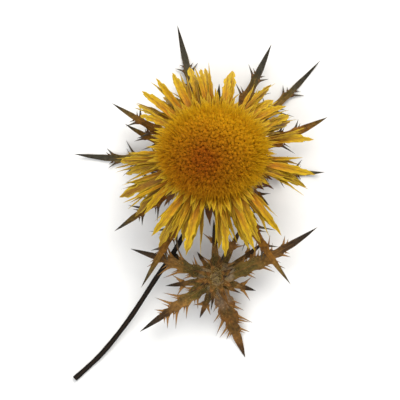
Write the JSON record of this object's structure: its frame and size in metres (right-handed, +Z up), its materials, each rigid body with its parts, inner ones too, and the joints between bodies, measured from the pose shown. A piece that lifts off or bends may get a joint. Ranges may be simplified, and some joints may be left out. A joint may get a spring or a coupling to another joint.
{
  "type": "dried thistle flower head",
  "caption": "Dried golden thistle flower head lying face up on its spiny bracts, with a floret disc, papery ray-like bracts, a thin bent stem and a leafy side shoot.",
  "frame": {"origin": "on the surface the piece lies on, under the middle of its overall box", "axes": "+Z up, roughly out of the open flower's face; +Y from the cut stem towards the flower head, the longest way; +X to the right seen from above"},
  "size_m": [0.0678, 0.0955, 0.0327],
  "materials": {
    "disc_florets": "matte",
    "rim_florets": "matte",
    "ray_bracts": "satin",
    "middle_bracts": "matte",
    "outer_bracts": "matte",
    "leafy_shoot": "matte",
    "stem": "matte"
  },
  "bodies": {
    "root": {"disc_florets": "disc_florets", "rim_florets": "rim_florets", "ray_bracts": "ray_bracts", "middle_bracts": "middle_bracts", "outer_bracts": "outer_bracts", "leafy_shoot": "leafy_shoot", "stem": "stem"}
  },
  "joints": []
}
